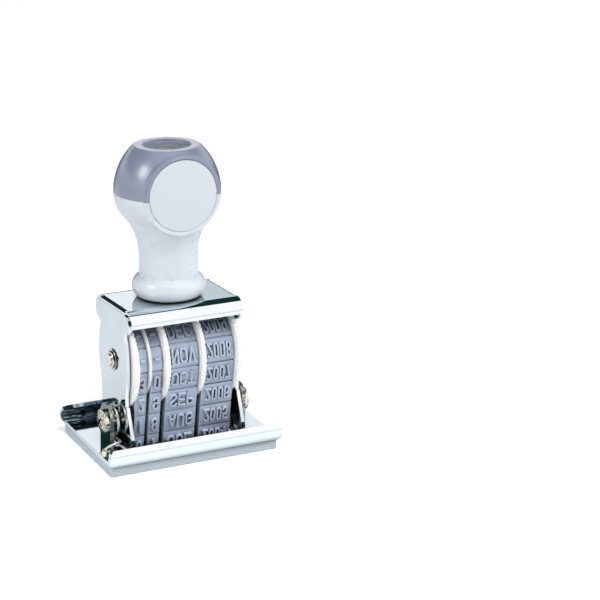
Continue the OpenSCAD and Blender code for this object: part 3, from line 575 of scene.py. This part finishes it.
def close_points(path, closed):
    """The path with points no further apart than the longest step, so that a stroke can follow the loop."""
    ends = path[1:] + path[:1] if closed else path[1:]
    points = []
    for a, b in zip(path, ends):
        gap = math.dist(a, b)
        if gap < SHORTEST_STEP:
            continue
        count = max(1, math.ceil(gap / LONGEST_STEP))
        points += [(a[0] + (b[0] - a[0]) * i / count, a[1] + (b[1] - a[1]) * i / count) for i in range(count)]
    return points if closed else points + [path[-1]]


def section_at(points, i, closed):
    """Middle, sideways direction and mitre of a stroke's section at a point, moved out at an open end."""
    point, count = points[i], len(points)
    before = points[i - 1] if closed or i > 0 else None
    after = points[(i + 1) % count] if closed or i < count - 1 else None
    into = (point - before).normalized() if before is not None else (after - point).normalized()
    out = (after - point).normalized() if after is not None else into
    way = (into + out).normalized() if (into + out).length > TURNS_BACK else into
    half_cosine = math.sqrt(max(0.0, (1 + into.dot(out)) / 2))
    mitre = min(SHARPEST_MITRE, 1 / max(SHARPEST_COSINE, half_cosine))
    end_cap = Vector((0, 0))
    if before is None:
        end_cap = -into * STROKE_TOP
    if after is None:
        end_cap = into * STROKE_TOP
    return point + end_cap, Vector((-way.y, way.x)), mitre


def add_stroke(bm, path, closed, place):
    """Sweeps a tapered raised section along a path of (across, up) in millimetres."""
    points = [Vector(p) for p in close_points(path, closed)]
    rings = []
    for i in range(len(points)):
        middle, side, mitre = section_at(points, i, closed)
        rings.append([bm.verts.new(place(*(middle + side * across * mitre), height))
                      for across, height in STROKE_SECTION])
    pairs = list(zip(rings, rings[1:])) + ([(rings[-1], rings[0])] if closed else [])
    for a, b in pairs:
        for k in range(len(STROKE_SECTION) - 1):
            bm.faces.new((a[k], a[k + 1], b[k + 1], b[k]))
    if not closed:
        bm.faces.new(rings[0])
        bm.faces.new(list(reversed(rings[-1])))


NARROW = {"1": 0.5}


def add_label(bm, text, tile, mid_x, wide, gap):
    """One label on a tile, mirrored as a stamp's type is: its top lies towards the loop's flat bottom."""
    letter_w = (wide - gap * (len(text) - 1)) / len(text)
    core_w, core_h = letter_w - 2 * STROKE_TOP, LETTER_H - 2 * STROKE_TOP
    ends = 0.5 * core_w / core_h
    for i, char in enumerate(text):
        left = mid_x - wide / 2 + i * (letter_w + gap) + STROKE_TOP

        def place(across, up, height, left=left):
            y, z, turn = Loop.at(-tile * TILE_PITCH + up - core_h / 2)
            out = TILE_H + height
            return LEANED @ Vector((left + across, y + out * math.cos(turn), z + out * math.sin(turn)))

        share = NARROW.get(char, 1.0)
        for points, closed in glyph(char, ends):
            path = [(core_w * (0.5 + share * (x - 0.5)), core_h * y) for x, y in points]
            add_stroke(bm, path, closed, place)


MONTHS = "-,JAN,FEB,MAR,APR,MAY,JUN,JUL,AUG,SEP,OCT,NOV,DEC".split(",")
YEARS = [str(year) for year in range(1997, 2010)]
DAY_UNITS = "-,1,2,3,4,5,6,7,8,9,0,-,-".split(",")
DAY_TENS = "2,3,-,0,1,2,3,0,1,2,3,-,-".split(",")
FIRST_TILE = -6
DASH_W = 1.5
LABEL_CREASE_ANGLE = 50


def make_labels(name, texts, node, wide, gap):
    low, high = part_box(node)
    mid_x = (low.x + high.x) / 2 / MM
    bm = bmesh.new()
    for i, text in enumerate(texts):
        label_w = min(wide, DASH_W) if text == "-" else wide
        add_label(bm, text, FIRST_TILE + i, mid_x, label_w, gap)
    new_piece(name, mesh_of(bm, name, LABEL_CREASE_ANGLE), BAND_RUBBER, "upper", "band_rubber")


# Piece, texts, node of the band, width of a label and gap between its characters
LABELS = [
    ("tens_band_type", DAY_TENS, "day_tens_band", 1.35, 0),
    ("units_band_type", DAY_UNITS, "day_units_band", 1.5, 0),
    ("month_band_type", MONTHS, "month_band", 6.0, 0.25),
    ("year_band_type", YEARS, "year_band", 6.0, 0.2),
]

for row in LABELS:
    make_labels(*row)


# Knob: body, cap, badge and the rim round the badge

KNOB_STEPS = 144
COLLAR_FOOT_R = 2.85
# The cap is an oval, cut flat at this share of its rise
CAP_SHARE = 0.79
CAP_RISE = (KNOB_Z - BULB_Z) / CAP_SHARE
CAP_STEPS, CAP_STEPS_BUNCH = 30, 1.3
CAP_EDGE_R, CAP_EDGE_TURN = 0.6, 45
SEAM_Z = BULB_Z + 0.35
SEAM_ROUND, SEAM_IN_R = 0.18, 9.6
RECESS_LIP = 0.25
BADGE_R, BADGE_EDGE = 8.1, 0.12
SEAT_GAP = 0.35
RIM_GAP, RIM_W, RIM_BACK = 0.04, 1.15, 0.04
RIM_LIP, RIM_CREST, RIM_FLARE = 0.2, 0.45, 0.2
RIM_WALL, RIM_DEEP = 1.6, 2.0
RIM_SEAM_GAP = 0.05
# Degrees by which the bulb's and the cap's arcs start past the curve before them
BULB_ARC_PAST, EDGE_ARC_PAST = 2, 5


def body_profile():
    """Half of the body's outline, from the collar over the neck to the seam."""
    bulb_x = BULB_R - BULB_CURVE_R
    hollow_x = NECK_R + NECK_CURVE_R
    drop = math.sqrt((BULB_CURVE_R + NECK_CURVE_R) ** 2 - (hollow_x - bulb_x) ** 2)
    join = math.degrees(math.atan2(drop, hollow_x - bulb_x))
    seam = math.degrees(math.asin((BULB_Z - SEAM_Z + SEAM_ROUND) / BULB_CURVE_R))
    collar_top = math.degrees(math.acos((NECK_R - COLLAR_MID_R) / COLLAR_R))
    seam_r = bulb_x + BULB_CURVE_R * math.cos(math.radians(seam))
    return ([(0, TOP_Z), (COLLAR_FOOT_R, TOP_Z)]
            + arc((COLLAR_MID_R, TOP_Z + COLLAR_R), COLLAR_R, -90, collar_top, 28)
            + arc((hollow_x, BULB_Z - drop), NECK_CURVE_R, 180, 180 - join, 26)
            + arc((bulb_x, BULB_Z), BULB_CURVE_R, BULB_ARC_PAST - join, -seam, 22)
            + arc((seam_r - SEAM_ROUND, SEAM_Z - SEAM_ROUND), SEAM_ROUND, 20, 90, 4)
            + [(SEAM_IN_R, SEAM_Z), (0, SEAM_Z)])


def cap_profile():
    """Half of the cap's outline, from the seam over the rim to the recess, in closer steps near the rim."""
    def oval_r(z):
        return BULB_R * math.sqrt(1 - ((z - BULB_Z) / CAP_RISE) ** 2)

    turn = math.radians(CAP_EDGE_TURN)
    edge_z = KNOB_Z - CAP_EDGE_R * (1 - math.sin(turn))
    edge_x = oval_r(edge_z) - CAP_EDGE_R * math.cos(turn)
    start_z = SEAM_Z + SEAM_ROUND
    shares = [1 - (1 - i / CAP_STEPS) ** CAP_STEPS_BUNCH for i in range(CAP_STEPS + 1)]
    heights = [start_z + (edge_z - start_z) * share for share in shares]
    foot = arc((oval_r(start_z) - SEAM_ROUND, start_z), SEAM_ROUND, -90, -20, 4)
    return ([(0, SEAM_Z), (SEAM_IN_R, SEAM_Z)] + foot + [(oval_r(z), z) for z in heights]
            + arc((edge_x, KNOB_Z - CAP_EDGE_R), CAP_EDGE_R, CAP_EDGE_TURN + EDGE_ARC_PAST, 90, 8)
            + arc((RECESS_R + RECESS_LIP, KNOB_Z - RECESS_LIP), RECESS_LIP, 90, 180, 5)
            + arc((RECESS_R - RECESS_LIP, KNOB_Z - RECESS_H + RECESS_LIP), RECESS_LIP, 0, -90, 5)
            + [(0, KNOB_Z - RECESS_H)])


def facing_front(y):
    """Turns a revolve about the upright axis to the badge's axis, with height 0 at -y."""
    return LEANED @ Matrix.Translation((0, -y, BADGE_Z)) @ Matrix.Rotation(math.radians(90), 4, "X")


def seat_cutter():
    seat_r = BADGE_R + SEAT_GAP
    profile = [(0, 0), (seat_r, 0), (seat_r, BULB_R), (0, BULB_R)]
    mesh = mesh_of(revolved(profile, KNOB_STEPS, facing_front(BADGE_Y - BADGE_T)), "seat_cutter")
    return linked("seat_cutter", mesh)


def cut_by(mesh, cutter):
    """The mesh less the cutter's solid."""
    block = linked("cut_block", mesh)
    cut = block.modifiers.new("seat", "BOOLEAN")
    cut.operation = "DIFFERENCE"
    cut.solver = "EXACT"
    cut.object = cutter
    bpy.context.view_layer.update()
    made = bpy.data.meshes.new_from_object(block.evaluated_get(bpy.context.evaluated_depsgraph_get()))
    bpy.data.objects.remove(block)
    smooth(made)
    return made


def rim_half(name, above):
    """The part of the badge's rim above or below the seam."""
    inner = BADGE_R + RIM_GAP
    outer = inner + RIM_W
    profile = ([(inner, -RIM_WALL)] + arc((inner + RIM_LIP, -RIM_BACK - RIM_LIP), RIM_LIP, 180, 90, 4)
               + arc((outer - RIM_CREST, -RIM_BACK - RIM_CREST), RIM_CREST, 90, 5, 6)
               + [(outer + RIM_FLARE, -RIM_DEEP), (inner, -RIM_DEEP), (inner, -RIM_WALL)])
    bm = revolved(profile, KNOB_STEPS, facing_front(BADGE_Y))
    bmesh.ops.remove_doubles(bm, verts=bm.verts, dist=MERGE_WITHIN / 2 * MM)
    seam_point = LEANED @ Vector((0, 0, SEAM_Z + (RIM_SEAM_GAP if above else -RIM_SEAM_GAP)))
    up = (LEANED.to_3x3() @ Vector((0, 0, 1))).normalized()
    everything = list(bm.verts) + list(bm.edges) + list(bm.faces)
    bmesh.ops.bisect_plane(bm, geom=everything, plane_co=seam_point, plane_no=up, clear_inner=above,
                           clear_outer=not above)
    bmesh.ops.holes_fill(bm, edges=[e for e in bm.edges if e.is_boundary])
    return mesh_of(bm, name)


RECESS_WALL, TOP_SKIN = 0.1, 0.05


def finish_top(mesh):
    """Gives the flat rim of the cap's top a smoother, lighter finish that paints its sheen, and the recess in
    it a matt grain.
    """
    mesh.materials.append(LIT_RIM_GREY)
    mesh.materials.append(RECESS_GREY)
    upright = LEANED.inverted()
    for face in mesh.polygons:
        middle = upright @ face.center
        if middle.z < BADGE_Z:
            continue
        if math.hypot(middle.x, middle.y) < RECESS_R - RECESS_WALL:
            face.material_index = 2
        elif middle.z > KNOB_Z - TOP_SKIN:
            face.material_index = 1


def make_knob():
    cutter = seat_cutter()
    body = mesh_of(revolved(body_profile(), KNOB_STEPS, LEANED), "knob_lower_solid")
    cap = mesh_of(revolved(cap_profile(), KNOB_STEPS, LEANED), "knob_upper_solid")
    new_piece("knob_lower", cut_by(body, cutter), KNOB_WHITE, "upper", "knob_white", "knob_body")
    upper = new_piece("knob_upper", cut_by(cap, cutter), KNOB_GREY, "upper", "knob_grey", "knob_cap")
    finish_top(upper.data)
    bpy.data.objects.remove(cutter)
    new_piece("badge_rim_upper", rim_half("badge_rim_upper", True), KNOB_GREY, "upper", "knob_grey")
    new_piece("badge_rim_lower", rim_half("badge_rim_lower", False), KNOB_WHITE, "upper", "knob_white")
    edge = arc((BADGE_R - BADGE_EDGE, -BADGE_EDGE), BADGE_EDGE, 0, 90, 5)
    disc = [(0, -BADGE_T), (BADGE_R, -BADGE_T)] + edge + [(0, 0)]
    badge = mesh_of(revolved(disc, KNOB_STEPS, facing_front(BADGE_Y)), "badge_disc")
    new_piece("badge_disc", badge, BADGE_WHITE, "upper", "badge_white", "knob_badge")


make_knob()


# Stage: floor, drapes that only reflections see, lamps, surroundings and camera, in metres

FLOOR_HALF = 3.0
PAPER = (0.86, 0.87, 0.885)
# Glow of the floor to the camera, and in metal from the front to the back
LIFT_SEEN = 0.40
LIFT_IN_FRONT, LIFT_BEHIND = 0.26, 0.0
LIFT_FROM_Y, LIFT_TO_Y = -0.014, 0.004
# Strength of the surroundings as a light on matt surfaces
MATT_FRONT, MATT_BACK = 0.42, 0.05
DRAPE_DISTANCE = 2.0
DRAPE_ACROSS, DRAPE_UP = 24, 6
LAMPS_AIM = Vector((0, 0, 0.03))
CAM_AZIMUTH, CAM_ELEVATION, CAM_ROLL = -28.02, 20.35, 1.99
CAM_DISTANCE = 0.55338
CAM_AIM = Vector((0.03263, 0, 0.02999))
CAM_CLIP = 0.01, 20
FOCAL_PX, IMAGE_PX, SENSOR_MM = 2379.74, 600, 36


def direction(azimuth, elevation):
    """A unit vector from the object, angles in degrees. Azimuth 0 is in front and 90 on the right."""
    a, e = math.radians(azimuth), math.radians(elevation)
    return Vector((math.sin(a) * math.cos(e), -math.cos(a) * math.cos(e), math.sin(e)))


def stage_material(name):
    """A material without a shader, as its tree and its surface socket."""
    made = bpy.data.materials.new(name)
    made.use_nodes = True
    tree = made.node_tree
    tree.nodes.remove(tree.nodes["Principled BSDF"])
    return made, tree, tree.nodes["Material Output"].inputs["Surface"]


def stage_sheet(name, bm, material):
    """A sheet of the stage, written from a bmesh."""
    mesh = bpy.data.meshes.new(name)
    bm.to_mesh(mesh)
    bm.free()
    mesh.materials.append(material)
    sheet = linked(name, mesh)
    return sheet


def floor_material():
    """White paper that shows as white where nothing shades it, and is brighter in metal towards the front."""
    made, tree, surface = stage_material("white_floor")
    paper = add_node(tree, "ShaderNodeBsdfDiffuse", Color=(*PAPER, 1))
    lift = add_node(tree, "ShaderNodeEmission", Color=(1, 1, 1, 1))
    path = tree.nodes.new("ShaderNodeLightPath").outputs
    y = along(tree, tree.nodes.new("ShaderNodeTexCoord").outputs["Object"], "Y")
    graded = spread(tree, y, LIFT_IN_FRONT, LIFT_BEHIND, at=(LIFT_FROM_Y, LIFT_TO_Y))
    in_metal = combined(tree, "MULTIPLY", path["Is Glossy Ray"], graded)
    to_camera = spread(tree, path["Is Camera Ray"], 0, LIFT_SEEN, at=(0, 1))
    tree.links.new(combined(tree, "ADD", to_camera, in_metal), lift.inputs["Strength"])
    both = tree.nodes.new("ShaderNodeAddShader")
    tree.links.new(paper.outputs[0], both.inputs[0])
    tree.links.new(lift.outputs[0], both.inputs[1])
    tree.links.new(both.outputs[0], surface)
    return made


def make_floor():
    bm = bmesh.new()
    corners = [(-1, -1), (1, -1), (1, 1), (-1, 1)]
    bm.faces.new([bm.verts.new((FLOOR_HALF * x, FLOOR_HALF * y, 0)) for x, y in corners])
    stage_sheet("floor", bm, floor_material())


def drape_material(name, colour):
    made, tree, surface = stage_material(name)
    glow = add_node(tree, "ShaderNodeEmission", Color=(*colour, 1), Strength=1.0)
    tree.links.new(glow.outputs[0], surface)
    return made


def make_drape(name, azimuths, elevations, material, distance=DRAPE_DISTANCE):
    """A drape round the studio, between two azimuths and two elevations, that only reflections see."""
    bm = bmesh.new()
    rows = []
    for j in range(DRAPE_UP + 1):
        tilt = elevations[0] + (elevations[1] - elevations[0]) * j / DRAPE_UP
        turns = [azimuths[0] + (azimuths[1] - azimuths[0]) * i / DRAPE_ACROSS
                 for i in range(DRAPE_ACROSS + 1)]
        rows.append([bm.verts.new(direction(turn, tilt) * distance) for turn in turns])
    for low, high in zip(rows, rows[1:]):
        for i in range(DRAPE_ACROSS):
            bm.faces.new((low[i], low[i + 1], high[i + 1], high[i]))
    drape = stage_sheet(name, bm, material)
    drape.visible_camera = False
    drape.visible_diffuse = False
    drape.visible_shadow = False
    drape.visible_transmission = False


def make_lamp(name, azimuth, elevation, distance, size, power, in_metal):
    light = bpy.data.lights.new(name, "AREA")
    light.shape = "SQUARE"
    light.size = size
    light.energy = power
    holder = linked(name, light)
    away = direction(azimuth, elevation)
    facing = (-away).to_track_quat("Z", "Y").to_matrix().to_4x4()
    shining_forward = Matrix.Rotation(math.pi, 4, "X")
    holder.matrix_world = Matrix.Translation(LAMPS_AIM + away * distance) @ facing @ shining_forward
    holder.visible_glossy = in_metal


def seen_directly(tree):
    """1 for rays from the camera, off metal or through glass, and 0 for light on matt surfaces."""
    path = tree.nodes.new("ShaderNodeLightPath").outputs
    seen = combined(tree, "MAXIMUM", path["Is Camera Ray"], path["Is Glossy Ray"])
    return combined(tree, "MAXIMUM", seen, path["Is Transmission Ray"])


def make_world():
    """White where it is seen, and dimmer towards the back as a light on matt surfaces."""
    world = bpy.data.worlds.new("white_studio")
    bpy.context.scene.world = world
    world.use_nodes = True
    tree = world.node_tree
    back = tree.nodes["Background"]
    back.inputs["Color"].default_value = (1, 1, 1, 1)
    y = along(tree, tree.nodes.new("ShaderNodeTexCoord").outputs["Generated"], "Y")
    on_matt = spread(tree, y, MATT_FRONT, MATT_BACK, at=(-1, 1))
    tree.links.new(combined(tree, "MAXIMUM", on_matt, seen_directly(tree)), back.inputs["Strength"])


def make_camera():
    azimuth, roll = math.radians(CAM_AZIMUTH), math.radians(CAM_ROLL)
    back = direction(CAM_AZIMUTH, CAM_ELEVATION)
    level = Vector((math.cos(azimuth), math.sin(azimuth), 0))
    upright = back.cross(level)
    right = level * math.cos(roll) + upright * math.sin(roll)
    up = upright * math.cos(roll) - level * math.sin(roll)
    data = bpy.data.cameras.new("camera")
    data.sensor_fit = "HORIZONTAL"
    data.sensor_width = SENSOR_MM
    data.lens = FOCAL_PX / IMAGE_PX * SENSOR_MM
    data.clip_start, data.clip_end = CAM_CLIP
    camera = linked("camera", data)
    turned = Matrix((right, up, back)).transposed().to_4x4()
    camera.matrix_world = Matrix.Translation(CAM_AIM + back * CAM_DISTANCE) @ turned
    bpy.context.scene.camera = camera


DARK = drape_material("dark_drape", (0.009, 0.033, 0.026))
GREY = drape_material("grey_drape", (0.66, 0.70, 0.72))
WHITE = drape_material("white_drape", (1.27, 1.18, 1.13))

# Name, azimuths, elevations, material and, where it stands close, distance
DRAPES = [
    ("drape_back_right", (80, 165), (27, 74), DARK),
    ("drape_back_left", (161, 262), (14, 57), DARK),
    ("drape_behind_camera", (-72, -6), (5, 50), DARK),
    ("drape_over_front", (-72, 8), (50, 56), DARK),
    ("drape_over_right", (10, 78), (12, 78), WHITE),
    ("low_wall_behind", (95, 190), (0.3, 20.4), DARK, 0.205),
    ("backdrop_right", (100, 155.3), (5, 20), GREY),
]
# Name, azimuth, elevation, distance, size, power and whether metal and gloss show it
LAMPS = [
    ("key_left", -91, 33, 1.2, 0.36, 3.8, True),
    ("side_right", 66, 24, 0.9, 0.5, 4.6, False),
    ("top_front", 4, 64, 1.0, 0.3, 4.2, False),
    ("fill_left", -64, 20, 1.2, 0.7, 4.4, False),
]

make_floor()
for row in DRAPES:
    make_drape(*row)
for row in LAMPS:
    make_lamp(*row)
make_world()
make_camera()
bpy.context.scene.view_settings.view_transform = "Standard"
